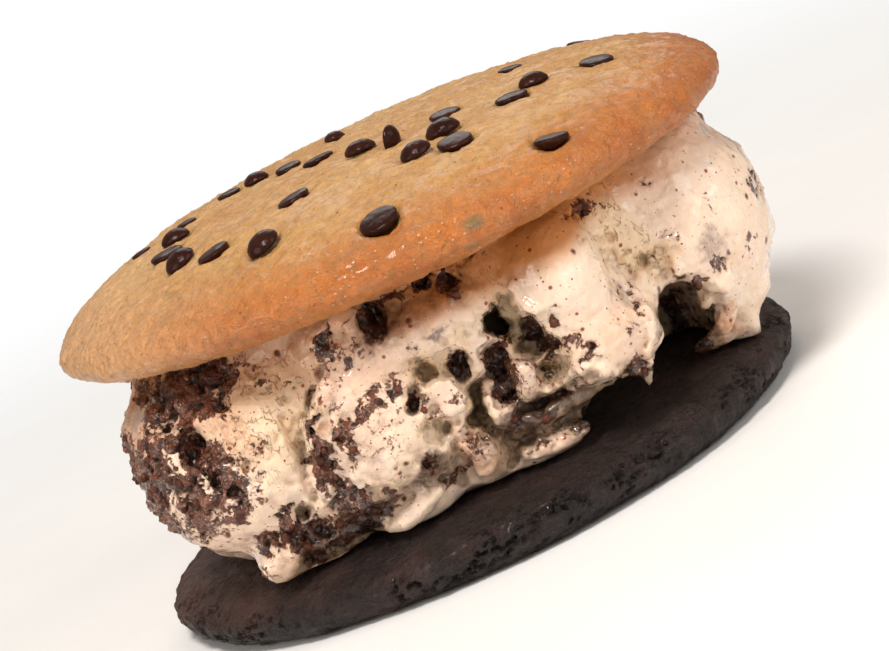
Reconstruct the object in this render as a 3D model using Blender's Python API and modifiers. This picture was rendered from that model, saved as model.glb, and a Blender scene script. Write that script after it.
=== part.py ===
"""An ice cream sandwich: a slab of cookies-and-cream ice cream between two unlike cookies.

The dark chocolate cookie lies flat on z = 0 with its middle at the origin.  The ice cream
stands on it, and the paler domed cookie with its chocolate chips lies on top, a little to one
side and a little tilted.  Lengths below are in millimetres; FRONT is -Y.
"""
import bpy
import bmesh
from math import atan2, cos, hypot, pi, radians, sin
from mathutils import Euler, Matrix, Vector

MM = 0.001
CONTACT_GAP = 0.3             # kept between pieces that touch

BOTTOM_RADIUS = 45.0
BOTTOM_THICKNESS = 7.4
BOTTOM_WAIST = 3.6            # height of the widest line of the side
BOTTOM_FOOT = 4.2             # how far the side tucks in underneath
BOTTOM_FULLNESS = 9.0         # high: a flat top with a rounded edge

TOP_RADIUS = 46.4
TOP_THICKNESS = 11.7          # at the crown of the dome
TOP_WAIST = 3.1
TOP_FOOT = 4.6
TOP_FULLNESS = 2.8            # low: the surface falls away from the crown all the way
TOP_CENTRE = Vector((3.5, -2.5, 37.4))
TOP_TILT = Euler((radians(1.4), radians(0.9), 0.0))
TOP_DROOP = 1.0               # how far the unsupported left end sags
DROOP_DIRECTION = radians(170)

COOKIE_STEPS = 48
CROWN_RINGS = 8
FOOT_RINGS = 3

CREAM_MIDDLE = Vector((3.3, -0.5))
CREAM_LOW = 6.0               # both ends run into the cookies and are cut to fit them
CREAM_HIGH = 41.0
CREAM_VOXEL = 1.15
LUMP_SQUARENESS = 2.25        # 2 is a ball, higher is boxier
CREAM_SHARE = 0.095           # share of the faces kept after the surface is meshed

CHIP_WIDTH = 5.5
CHIP_STEPS = 8
CHIP_PROUD = 0.12             # how far a chip on its side stands out, as a share of its width

COLOURS = {
    "baked_dough": ((0.62, 0.36, 0.16), 0.55),
    "chocolate_dough": ((0.045, 0.028, 0.024), 0.60),
    "cookies_and_cream": ((0.86, 0.72, 0.55), 0.40),
    "chocolate": ((0.035, 0.014, 0.010), 0.28),
}

# Chips by their place on the dome, from its middle, and how each lies: tip up (drop), base up
# (flat) or on its side; then the turn of the lie about the upright and its lean, in degrees,
# and its size as a share of a whole chip.  The last seven lie round the far slope.
CHIPS = [
    (31.5, -10.4, "flat", 20, 3, 0.95), (22.3, 7.0, "flat", 60, 3, 0.72),
    (23.1, -11.6, "drop", 200, 6, 0.85), (19.5, -15.6, "flat", 208, 3, 0.92),
    (11.4, -9.0, "flat", 40, 4, 0.88), (10.0, -19.2, "drop", 200, 6, 0.98),
    (10.5, -26.2, "flat", 15, 4, 0.95), (5.7, -24.2, "drop", 260, 8, 0.88),
    (20.6, -35.8, "flat", 190, 22, 0.92), (3.7, -13.2, "side", 60, 12, 0.80),
    (-0.2, -7.8, "drop", 170, 8, 0.90), (-2.6, 14.5, "drop", 90, 6, 0.62),
    (-5.7, 1.5, "flat", 200, 5, 0.95), (-9.8, 7.6, "flat", 10, 4, 0.78),
    (-14.4, 10.4, "drop", 140, 4, 0.75), (-18.6, 13.0, "flat", 40, 4, 0.70),
    (-10.3, -17.5, "flat", 245, 6, 0.92), (-1.8, -39.8, "flat", 250, 6, 1.05),
    (-15.5, -30.2, "drop", 270, 12, 0.96), (-21.8, -22.0, "flat", 220, 6, 0.92),
    (-26.5, -2.5, "drop", 150, 6, 0.86), (-28.0, -8.7, "flat", 100, 6, 0.95),
    (-26.2, -17.3, "drop", 280, 10, 0.92), (-32.1, 7.2, "flat", 120, 4, 0.62),
    (-25.0, 6.6, "flat", 80, 4, 0.58), (22.0, 36.0, "flat", 30, 4, 0.95),
    (10.0, 40.8, "flat", 60, 4, 0.90), (-0.5, 41.5, "flat", 10, 4, 0.95),
    (-11.0, 40.0, "flat", 100, 5, 0.95), (-28.5, 29.0, "flat", 120, 5, 1.00),
    (-19.5, 32.0, "flat", 45, 3, 0.80), (33.5, 20.5, "flat", 75, 3, 0.90),
]

# Lumps of the front, as middle and radii: the overlapping scoop folds, the big right overhang
# with its hooked foot, and the melted tongues and drips that lie on the bottom cookie.
FRONT_LUMPS = [
    ((-22.3, -14.5, 22.9), (18.0, 23.0, 14.0)),
    ((-35.0, -8.0, 27.5), (5.6, 9.0, 6.5)),
    ((-8.6, -31.0, 21.5), (9.0, 11.2, 11.6)), ((-12.0, -29.0, 14.6), (5.6, 10.6, 5.6)),
    ((-8.4, -32.0, 33.0), (6.0, 9.0, 4.0)), ((1.0, -32.0, 29.8), (10.5, 10.0, 5.0)),
    ((17.6, -31.0, 27.4), (6.9, 11.4, 9.4)), ((18.4, -31.0, 18.8), (6.8, 10.6, 5.6)),
    ((24.0, -30.5, 17.0), (3.4, 8.0, 3.6)), ((4.6, -31.0, 17.0), (4.6, 8.6, 3.0)),
    ((32.4, -10.0, 24.0), (15.4, 20.0, 15.6)), ((34.0, -22.0, 22.5), (4.6, 9.0, 6.6)),
    ((38.6, -14.0, 13.5), (4.8, 8.2, 8.2)), ((45.4, -8.0, 17.0), (2.8, 4.0, 2.4)),
    ((-27.2, -29.6, 9.6), (3.2, 4.4, 2.4)), ((-21.0, -29.5, 9.0), (6.0, 3.8, 1.9)),
    ((-9.0, -31.6, 9.2), (6.0, 4.4, 2.3)), ((0.8, -30.5, 10.8), (4.0, 5.4, 3.4)),
    ((8.5, -30.2, 9.0), (7.0, 4.8, 2.2)), ((9.0, -29.6, 12.8), (7.0, 5.6, 2.2)),
]

# Hollows of the front, as middle and radii: the dark cave under the right overhang, the gap
# below the middle fold, the groove between two folds and the small torn openings.
FRONT_HOLLOWS = [
    ((30.2, -22.0, 10.8), (4.8, 22.0, 9.0)), ((21.0, -25.0, 7.8), (9.0, 20.0, 4.9)),
    ((25.8, -39.0, 26.5), (2.6, 8.0, 7.5)), ((29.4, -38.0, 22.5), (4.0, 9.0, 4.4)),
    ((-1.6, -41.0, 25.2), (1.6, 5.0, 2.1)), ((3.0, -41.0, 23.6), (1.8, 5.0, 2.2)),
    ((2.6, -39.0, 20.0), (2.4, 6.0, 2.6)), ((8.5, -42.0, 26.6), (1.5, 7.0, 2.6)),
    ((7.0, -41.0, 21.6), (2.4, 6.5, 3.0)), ((12.2, -40.5, 22.6), (2.2, 6.0, 3.0)),
    ((-30.0, -33.5, 27.6), (1.7, 6.0, 3.2)), ((-2.0, -42.0, 33.6), (2.8, 4.6, 1.8)),
    ((-18.4, -39.5, 22.5), (1.6, 5.2, 9.0)), ((-22.0, -35.5, 12.8), (2.8, 5.0, 1.9)),
    ((-11.0, -38.0, 11.4), (5.0, 5.0, 1.2)), ((9.0, -38.0, 15.8), (7.0, 5.0, 1.2)),
]

# Scoop flanks round the sides and back, by direction in degrees: how far each reaches from the
# middle, the height of its middle, and half its width and height.
BACK_SCOOPS = [
    (14, 44.6, 18.0, 11.0, 12.0), (42, 44.2, 25.0, 12.0, 13.0), (74, 43.4, 19.0, 13.0, 12.0),
    (104, 43.8, 25.5, 11.0, 12.0), (134, 43.6, 19.5, 12.0, 13.0), (163, 43.8, 24.0, 12.0, 13.5),
    (196, 44.0, 21.0, 13.0, 14.0), (226, 44.0, 22.0, 13.0, 14.0),
]
BACK_DRIPS = [(28, 40.0, 5.0), (66, 39.0, 7.0), (98, 40.5, 4.0), (126, 39.5, 6.0), (158, 40.0, 5.0)]
BACK_HOLLOWS = [(57, 46.0, 12.0), (90, 45.5, 30.0), (119, 46.0, 13.5), (148, 46.0, 30.5), (28, 46.5, 29.0)]
HOLLOW_SIZE = Vector((4.0, 3.2, 5.2))


def clear_scene():
    """Remove what the new file holds, so that only the sandwich is left."""
    for thing in list(bpy.data.objects):
        bpy.data.objects.remove(thing, do_unlink=True)


def new_collection(name):
    collection = bpy.data.collections.new(name)
    bpy.context.scene.collection.children.link(collection)
    return collection


def new_material(name):
    colour, roughness = COLOURS[name]
    material = bpy.data.materials.new(name)
    material.use_nodes = True
    shader = material.node_tree.nodes["Principled BSDF"]
    shader.inputs["Base Color"].default_value = (*colour, 1.0)
    shader.inputs["Roughness"].default_value = roughness
    shader.inputs["Metallic"].default_value = 0.0
    return material


def new_object(name, shape, collection, material=None):
    """Turn a bmesh that is drawn in millimetres into an object of real size."""
    bmesh.ops.scale(shape, vec=(MM, MM, MM), verts=shape.verts)
    mesh = bpy.data.meshes.new(name)
    shape.to_mesh(mesh)
    shape.free()
    thing = bpy.data.objects.new(name, mesh)
    collection.objects.link(thing)
    if material:
        mesh.materials.append(material)
        mesh.shade_smooth()
    else:
        thing.hide_render = True
        thing.display_type = "WIRE"
    return thing


def turned(section, steps):
    """Spin a half section about Z; it runs from the crown down the outer side to the foot."""
    shape = bmesh.new()
    rim = [shape.verts.new((radius, 0.0, height)) for radius, height in section]
    edges = [shape.edges.new(pair) for pair in zip(rim, rim[1:])]
    bmesh.ops.spin(shape, geom=rim + edges, axis=(0, 0, 1), cent=(0, 0, 0), angle=2 * pi,
                   steps=steps, use_merge=True)
    bmesh.ops.remove_doubles(shape, verts=shape.verts, dist=0.01)
    bmesh.ops.recalc_face_normals(shape, faces=shape.faces)
    return shape


def swell(shape, amount):
    """Push the whole surface out, for the cutter that leaves a gap round a piece."""
    shape.normal_update()
    moved = [vertex.co + vertex.normal * amount for vertex in shape.verts]
    for vertex, place in zip(shape.verts, moved):
        vertex.co = place


# ---------------------------------------------------------------- cookies

def crown_height(share, thickness, waist, fullness):
    """Height of a cookie's upper surface at a share of its radius."""
    return waist + (thickness - waist) * max(0.0, 1.0 - share ** fullness) ** 0.55


def cookie_section(radius, thickness, waist, foot, fullness):
    section = []
    for ring in range(CROWN_RINGS + 1):
        share = sin(pi / 2 * ring / CROWN_RINGS) ** (2.0 / max(fullness, 3.4))
        section.append((radius * share, crown_height(share, thickness, waist, fullness)))
    for ring in range(1, FOOT_RINGS + 1):
        angle = pi / 2 * ring / FOOT_RINGS
        section.append((radius - foot * (1.0 - cos(angle)), waist * (1.0 - sin(angle))))
    section.append((0.0, 0.0))
    return section


def uneven_rim(shape, wobbles, radius):
    """Make the round outline a little uneven: each wobble is (lobes, amount, direction)."""
    for vertex in shape.verts:
        reach = hypot(vertex.co.x, vertex.co.y)
        direction = atan2(vertex.co.y, vertex.co.x)
        bulge = sum(amount * cos(lobes * (direction - start)) for lobes, amount, start in wobbles)
        grow = 1.0 + bulge / radius * (reach / radius) ** 2
        vertex.co.x *= grow
        vertex.co.y *= grow


def bottom_cookie(grow=0.0):
    shape = turned(cookie_section(BOTTOM_RADIUS, BOTTOM_THICKNESS, BOTTOM_WAIST, BOTTOM_FOOT,
                                  BOTTOM_FULLNESS), COOKIE_STEPS)
    uneven_rim(shape, [(2, 0.35, 0.4), (3, 0.25, 1.1), (5, 0.22, 0.2), (8, 0.12, 0.0)], BOTTOM_RADIUS)
    if grow:
        swell(shape, grow)
    return shape


def droop(place):
    """How far the top cookie sags at a place on it, most at the end that nothing holds."""
    reach = max(0.0, hypot(place.x, place.y) - 0.62 * TOP_RADIUS) / (0.38 * TOP_RADIUS)
    towards = max(0.0, cos(atan2(place.y, place.x) - DROOP_DIRECTION))
    return TOP_DROOP * reach ** 1.6 * towards ** 2


def top_placement():
    return Matrix.Translation(TOP_CENTRE) @ TOP_TILT.to_matrix().to_4x4()


def top_cookie(grow=0.0):
    shape = turned(cookie_section(TOP_RADIUS, TOP_THICKNESS, TOP_WAIST, TOP_FOOT, TOP_FULLNESS),
                   COOKIE_STEPS)
    uneven_rim(shape, [(2, 0.75, 0.0), (3, 0.3, 0.5), (5, 0.25, 2.0), (7, 0.12, 0.3)], TOP_RADIUS)
    for vertex in shape.verts:
        vertex.co.z -= droop(vertex.co)
    if grow:
        swell(shape, grow)
    bmesh.ops.transform(shape, matrix=top_placement(), verts=shape.verts)
    return shape


# ---------------------------------------------------------------- chips

def chip(lie, turn, lean, size, grow=0.0):
    """A baking chip: a low drop with a rounded base, its middle at the base."""
    width = CHIP_WIDTH * size
    section = [(0.0, 0.33), (0.20, 0.30), (0.37, 0.18), (0.48, 0.0), (0.42, -0.10), (0.0, -0.13)]
    shape = turned([(radius * width, height * width) for radius, height in section], CHIP_STEPS)
    if grow:
        swell(shape, grow)
    roll = {"drop": 0.0, "flat": pi, "side": pi / 2}[lie]
    rise = CHIP_PROUD * width if lie == "side" else 0.0
    tip = Matrix.Rotation(roll + radians(lean), 4, "X")
    facing = Matrix.Rotation(radians(turn), 4, "Z")
    bmesh.ops.transform(shape, matrix=Matrix.Translation((0, 0, rise)) @ facing @ tip, verts=shape.verts)
    return shape


def chip_seat(x, y):
    """The place on the dome, in the sandwich's frame, where a chip's base lies, with its slope."""
    share = hypot(x, y) / TOP_RADIUS
    here = crown_height(share, TOP_THICKNESS, TOP_WAIST, TOP_FULLNESS)
    beyond = crown_height(share + 0.02, TOP_THICKNESS, TOP_WAIST, TOP_FULLNESS)
    fall = (here - beyond) / (0.02 * TOP_RADIUS)
    normal = Vector((x, y, 0.0)).normalized() * fall + Vector((0.0, 0.0, 1.0))
    slope = Vector((0, 0, 1)).rotation_difference(normal).to_matrix().to_4x4()
    seat = Vector((x, y, here))
    seat.z -= droop(seat)
    return top_placement() @ Matrix.Translation(seat) @ slope


def placed_chip(x, y, lie, turn, lean, size, grow=0.0):
    shape = chip(lie, turn, lean, size, grow)
    bmesh.ops.transform(shape, matrix=chip_seat(x, y), verts=shape.verts)
    return shape


# ---------------------------------------------------------------- ice cream

def add_lump(shape, middle, radii, turn=0.0):
    """Add a slightly squared ball, stretched to its radii and turned about Z, to a mass."""
    ball = bmesh.ops.create_icosphere(shape, subdivisions=3, radius=1.0)["verts"]
    for vertex in ball:
        spread = sum(abs(part) ** LUMP_SQUARENESS for part in vertex.co) ** (1.0 / LUMP_SQUARENESS)
        vertex.co /= spread
    place = Matrix.LocRotScale(Vector(middle), Euler((0.0, 0.0, radians(turn))), Vector(radii))
    bmesh.ops.transform(shape, matrix=place, verts=ball)


def round_the_middle(direction, reach, height):
    """A place by its direction and distance from the middle of the ice cream."""
    angle = radians(direction)
    return (CREAM_MIDDLE.x + reach * cos(angle), CREAM_MIDDLE.y + reach * sin(angle), height)


def cream_slab():
    """The mass between the cookies: widest half way up, undercut at the front."""
    section = [(0.0, CREAM_HIGH), (38.0, CREAM_HIGH), (39.2, 35.0), (40.6, 28.0), (41.0, 21.0),
               (40.0, 14.0), (37.6, 8.0), (36.5, CREAM_LOW), (0.0, CREAM_LOW)]
    shape = turned(section, COOKIE_STEPS)
    for vertex in shape.verts:
        front = max(0.0, -vertex.co.y / 42.0)
        low = max(0.0, (17.0 - vertex.co.z) / 11.0)
        vertex.co.y += 8.0 * front ** 2 * low + 2.6 * front ** 2
        vertex.co.x += CREAM_MIDDLE.x
        vertex.co.y += CREAM_MIDDLE.y
    return shape


def cream_mass():
    shape = cream_slab()
    for middle, radii in FRONT_LUMPS:
        add_lump(shape, middle, radii)
    for direction, reach, height, width, tall in BACK_SCOOPS:
        depth = 0.8 * width
        add_lump(shape, round_the_middle(direction, reach - depth, height), (depth, width, tall), direction)
    for direction, reach, width in BACK_DRIPS:
        add_lump(shape, round_the_middle(direction, reach - 3.5, 9.0), (3.5, width, 2.2), direction)
    return shape


def cream_hollows():
    shape = bmesh.new()
    for middle, radii in FRONT_HOLLOWS:
        add_lump(shape, middle, radii)
    for direction, reach, height in BACK_HOLLOWS:
        add_lump(shape, round_the_middle(direction, reach, height), HOLLOW_SIZE, direction)
    return shape


def remesh(thing, voxel):
    """Melt the balls of a mass into one skin."""
    modifier = thing.modifiers.new("one skin", "REMESH")
    modifier.mode = "VOXEL"
    modifier.voxel_size = voxel * MM


def cut(thing, cutter):
    modifier = thing.modifiers.new("cut", "BOOLEAN")
    modifier.operation = "DIFFERENCE"
    modifier.solver = "EXACT"
    modifier.object = cutter


def build_ice_cream(parts, cutters):
    hollows = new_object("cream_hollows", cream_hollows(), cutters)
    remesh(hollows, CREAM_VOXEL)
    cream = new_object("ice_cream", cream_mass(), parts, new_material("cookies_and_cream"))
    remesh(cream, CREAM_VOXEL)
    cut(cream, hollows)
    remesh(cream, CREAM_VOXEL)
    smooth = cream.modifiers.new("soften", "SMOOTH")
    smooth.factor = 0.5
    smooth.iterations = 2
    fewer = cream.modifiers.new("fewer faces", "DECIMATE")
    fewer.ratio = CREAM_SHARE
    cut(cream, new_object("bottom_clearance", bottom_cookie(CONTACT_GAP), cutters))
    cut(cream, new_object("top_clearance", top_cookie(CONTACT_GAP), cutters))


def build_cookies(parts, cutters):
    new_object("bottom_cookie", bottom_cookie(), parts, new_material("chocolate_dough"))
    top = new_object("top_cookie", top_cookie(), parts, new_material("baked_dough"))
    chocolate = new_material("chocolate")
    for number, lie in enumerate(CHIPS, start=1):
        new_object(f"chip_{number:02d}", placed_chip(*lie), parts, chocolate)
        cut(top, new_object(f"pocket_{number:02d}", placed_chip(*lie, grow=CONTACT_GAP), cutters))


def build():
    clear_scene()
    parts = new_collection("ice_cream_sandwich")
    cutters = new_collection("cutters")
    build_cookies(parts, cutters)
    build_ice_cream(parts, cutters)


build()
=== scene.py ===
"""The looks of an ice cream sandwich: dark cookie, cookies-and-cream ice cream, golden chip cookie."""
import random
from math import cos, hypot, radians, sin

import bmesh
import bpy
import numpy as np
from mathutils import Euler, Matrix, Vector, noise
from mathutils.bvhtree import BVHTree

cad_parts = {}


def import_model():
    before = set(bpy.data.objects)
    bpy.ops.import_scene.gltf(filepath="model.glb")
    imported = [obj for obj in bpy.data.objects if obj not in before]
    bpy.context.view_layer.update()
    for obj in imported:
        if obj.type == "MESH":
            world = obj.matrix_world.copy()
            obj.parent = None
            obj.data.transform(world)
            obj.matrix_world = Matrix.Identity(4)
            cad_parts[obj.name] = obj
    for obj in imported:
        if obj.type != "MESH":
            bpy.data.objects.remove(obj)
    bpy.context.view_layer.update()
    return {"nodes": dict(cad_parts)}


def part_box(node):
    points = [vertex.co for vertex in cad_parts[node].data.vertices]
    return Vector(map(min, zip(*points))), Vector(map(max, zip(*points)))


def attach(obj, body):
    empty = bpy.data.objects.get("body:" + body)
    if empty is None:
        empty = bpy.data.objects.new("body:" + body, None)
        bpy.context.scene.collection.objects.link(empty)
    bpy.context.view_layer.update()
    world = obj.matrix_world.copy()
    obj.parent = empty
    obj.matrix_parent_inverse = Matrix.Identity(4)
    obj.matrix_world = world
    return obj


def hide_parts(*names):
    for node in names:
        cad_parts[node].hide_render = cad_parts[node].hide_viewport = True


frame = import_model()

MM = 0.001
FINE = 0.00034                # size of the faces of the ice cream's front
PLAIN = 0.00042               # and of its back
BAKED = 0.00049               # size of the faces of the cookies
SLAB_FOOT = 7.9               # height where the cream leaves the dark cookie, in millimetres
SLAB_HEAD = 36.2              # and where it meets the golden one

# The front's markings are laid out on an upright sheet in front of the middle, as they fall on
# it when looked at from the eye: u runs to the right and v upwards, in millimetres.
EYE = Vector((0.0, -363.8, 87.4))
SHEET_Y = -30.0


def from_sheet(u, v, depth):
    """The place behind a point of the front sheet that lies at y = depth."""
    reach = (depth - EYE.y) / (SHEET_Y - EYE.y)
    return Vector((u * reach, depth, EYE.z + (v - EYE.z) * reach))


# ---------------- shader maths

class Value:
    """A number on a material's wires, so that shader maths reads like any other."""

    def __init__(self, paint, socket):
        self.paint = paint
        self.socket = socket

    def maths(self, operation, *terms, clamp=False):
        node = self.paint.node("ShaderNodeMath", {"operation": operation, "use_clamp": clamp},
                               dict(enumerate(terms)))
        return Value(self.paint, node.outputs[0])

    def __add__(self, other):
        return self.maths("ADD", self, other)

    __radd__ = __add__

    def __sub__(self, other):
        return self.maths("SUBTRACT", self, other)

    def __rsub__(self, other):
        return self.maths("SUBTRACT", other, self)

    def __mul__(self, other):
        return self.maths("MULTIPLY", self, other)

    __rmul__ = __mul__

    def most(self, other):
        return self.maths("MAXIMUM", self, other)

    def held(self):
        """The number kept between 0 and 1."""
        return self.maths("ADD", self, 0.0, clamp=True)

    def step(self, low, high):
        """0 below low, 1 above high, and a smooth rise between; low may be the larger one."""
        node = self.paint.node("ShaderNodeMapRange", {"interpolation_type": "SMOOTHSTEP"},
                               {"Value": self, "From Min": low, "From Max": high})
        return Value(self.paint, node.outputs["Result"])


class Nodes:
    """A node tree whose every node comes from one method."""

    def __init__(self, tree):
        self.tree = tree

    def node(self, kind, settings=None, inputs=None):
        node = self.tree.nodes.new(kind)
        for name, value in (settings or {}).items():
            setattr(node, name, value)
        for name, value in (inputs or {}).items():
            socket = node.inputs[name]
            if isinstance(value, Value):
                value = value.socket
            if isinstance(value, bpy.types.NodeSocket):
                self.tree.links.new(value, socket)
            else:
                socket.default_value = value
        return node


class Paint(Nodes):
    """A procedural material on a Principled shader, worked out in millimetres."""

    def __init__(self, name, **fixed):
        self.material = bpy.data.materials.new(name)
        self.material.use_nodes = True
        super().__init__(self.material.node_tree)
        self.shader = self.tree.nodes["Principled BSDF"]
        for socket, value in fixed.items():
            self.shader.inputs[socket.replace("_", " ")].default_value = value
        place = self.node("ShaderNodeTexCoord").outputs["Object"]
        scaled = self.node("ShaderNodeVectorMath", {"operation": "SCALE"}, {0: place, "Scale": 1000.0})
        self.place = scaled.outputs[0]

    def noise(self, size, detail=3.0, rough=0.6, place=None, twist=0.0):
        """Cloudy noise from 0 to 1 whose lumps are about size millimetres."""
        node = self.node("ShaderNodeTexNoise", {}, {
            "Vector": place or self.place, "Scale": 1.0 / size, "Detail": detail,
            "Roughness": rough, "Distortion": twist})
        return Value(self, node.outputs["Fac"])

    def cells(self, size, place=None):
        """A number of its own for each of scattered cells about size millimetres wide, 0 to 1, and
        the distance to the cell's point."""
        node = self.node("ShaderNodeTexVoronoi", {}, {"Vector": place or self.place, "Scale": 1.0 / size})
        split = self.node("ShaderNodeSeparateColor", {}, {"Color": node.outputs["Color"]})
        return Value(self, split.outputs["Red"]), Value(self, node.outputs["Distance"])

    def mark(self, name):
        """A number painted on the mesh's points."""
        node = self.node("ShaderNodeAttribute", {"attribute_name": name})
        return Value(self, node.outputs["Fac"])

    def stretched(self, x, y, z):
        """The place with its three directions scaled, for streaks."""
        node = self.node("ShaderNodeVectorMath", {"operation": "MULTIPLY"}, {0: self.place, 1: (x, y, z)})
        return node.outputs[0]

    def mix(self, share, first, second, blend="MIX"):
        """Two colours mixed: a share of 0 or less gives the first and of 1 or more the second."""
        node = self.node("ShaderNodeMix", {"data_type": "RGBA", "blend_type": blend}, {
            "Factor": share, "A": colour_of(first), "B": colour_of(second)})
        return node.outputs["Result"]

    def layered(self, colour, *layers):
        """A colour with others laid over it, each with its share."""
        for share, over in layers:
            colour = self.mix(share, colour, over)
        return colour

    def relief(self, *layers):
        """Bumps, each a height from 0 to 1, its strength and its depth in millimetres."""
        normal = None
        for height, strength, depth in layers:
            inputs = {"Height": height, "Strength": strength, "Distance": depth * MM}
            if normal:
                inputs["Normal"] = normal
            normal = self.node("ShaderNodeBump", {}, inputs).outputs[0]
        self.set("Normal", normal)

    def set(self, socket, value):
        if isinstance(value, Value):
            value = value.socket
        self.tree.links.new(value, self.shader.inputs[socket])


def colour_of(value):
    return (*value, 1.0) if isinstance(value, tuple) and len(value) == 3 else value


# ---------------- mesh helpers

def new_piece(name, shape, paint=None):
    """An object, at the origin, of a bmesh whose places are already real ones in metres."""
    mesh = bpy.data.meshes.new(name)
    shape.to_mesh(mesh)
    shape.free()
    piece = bpy.data.objects.new(name, mesh)
    bpy.context.scene.collection.objects.link(piece)
    if paint:
        mesh.materials.append(paint.material)
    mesh.shade_smooth()
    return piece


def merged(node):
    """A CAD node's shape as a bmesh with its loose triangles joined."""
    shape = bmesh.new()
    shape.from_mesh(frame["nodes"][node].data)
    bmesh.ops.remove_doubles(shape, verts=shape.verts, dist=1e-6)
    return shape


def settle(piece):
    """Make what the piece's modifiers give its own mesh."""
    evaluated = piece.evaluated_get(bpy.context.evaluated_depsgraph_get())
    mesh = bpy.data.meshes.new_from_object(evaluated)
    piece.modifiers.clear()
    old = piece.data
    piece.data = mesh
    bpy.data.meshes.remove(old)
    mesh.shade_smooth()
    return piece


def reskin(piece, size, smoothing=0):
    """Give a piece one even skin of small faces."""
    skin = piece.modifiers.new("skin", "REMESH")
    skin.mode = "VOXEL"
    skin.voxel_size = size
    if smoothing:
        soft = piece.modifiers.new("soft", "SMOOTH")
        soft.factor = 0.5
        soft.iterations = smoothing
    return settle(piece)


def hand_over(piece, node):
    """Attach a piece to the root body and hide the CAD node that it stands for."""
    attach(piece, "root")
    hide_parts(node)
    return piece


def carve(piece, front, back, width=120.0, height=90.0, middle_height=20.0):
    """Cut away what lies between two places along Y, in millimetres."""
    shape = bmesh.new()
    middle = Vector((0.0, (front + back) / 2, middle_height))
    place = Matrix.LocRotScale(middle * MM, None, Vector((width, back - front, height)) * MM)
    bmesh.ops.create_cube(shape, size=1.0, matrix=place)
    cutter = new_piece("cutter", shape)
    cut = piece.modifiers.new("carve", "BOOLEAN")
    cut.operation = "DIFFERENCE"
    cut.solver = "EXACT"
    cut.object = cutter
    settle(piece)
    bpy.data.objects.remove(cutter, do_unlink=True)


def read_points(mesh):
    """The points of a mesh and their normals, the points in millimetres."""
    places = np.empty(len(mesh.vertices) * 3)
    normals = np.empty(len(mesh.vertices) * 3)
    mesh.vertices.foreach_get("co", places)
    mesh.vertices.foreach_get("normal", normals)
    return places.reshape(-1, 3) / MM, normals.reshape(-1, 3)


def write_points(mesh, places):
    mesh.vertices.foreach_set("co", (places * MM).ravel())
    mesh.update()


def dress(piece, places, marks, paint, node):
    """Give a piece its finished points, its painted marks and its material, and hand it over."""
    write_points(piece.data, places)
    for name, values in marks.items():
        attribute = piece.data.attributes.new(name, "FLOAT", "POINT")
        attribute.data.foreach_set("value", np.asarray(values, np.float32))
    piece.data.materials.append(paint.material)
    return hand_over(piece, node)


def lump_noise(places, size, octaves=3, rough=0.5, seed=0.0):
    """Cloudy noise, about -1 to 1, at each of many places."""
    shift = Vector((seed * 17.3, seed * 5.1, seed * 29.7))
    return np.array([noise.fractal(Vector(place) / size + shift, 1.0 - rough, 2.0, octaves)
                     for place in places])


def wobble(places, size, rough, seed):
    """Two numbers for each of many places, to make what is laid out on the sheet ragged."""
    return np.stack([lump_noise(places, size, 4, rough, seed + other) for other in (0.0, 1.0)], 1)


def pebble_noise(places, size, seed=0.0):
    """Distance to the nearest of scattered points, about 0 to 1, at each of many places."""
    shift = Vector((seed * 11.9, seed * 3.7, seed * 23.1))
    return np.array([noise.voronoi(Vector(place) / size + shift, distance_metric="DISTANCE")[0][0]
                     for place in places])


def rise(values, low, high):
    """0 below low, 1 above high, and a smooth rise between."""
    share = np.clip((values - low) / (high - low), 0.0, 1.0)
    return share * share * (3.0 - 2.0 * share)


# ---------------- cookies

golden_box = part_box("top_cookie")
golden_middle = (golden_box[0] + golden_box[1]) / 2 / MM
golden_reach = (golden_box[1].x - golden_box[0].x) / 2 / MM


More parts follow.
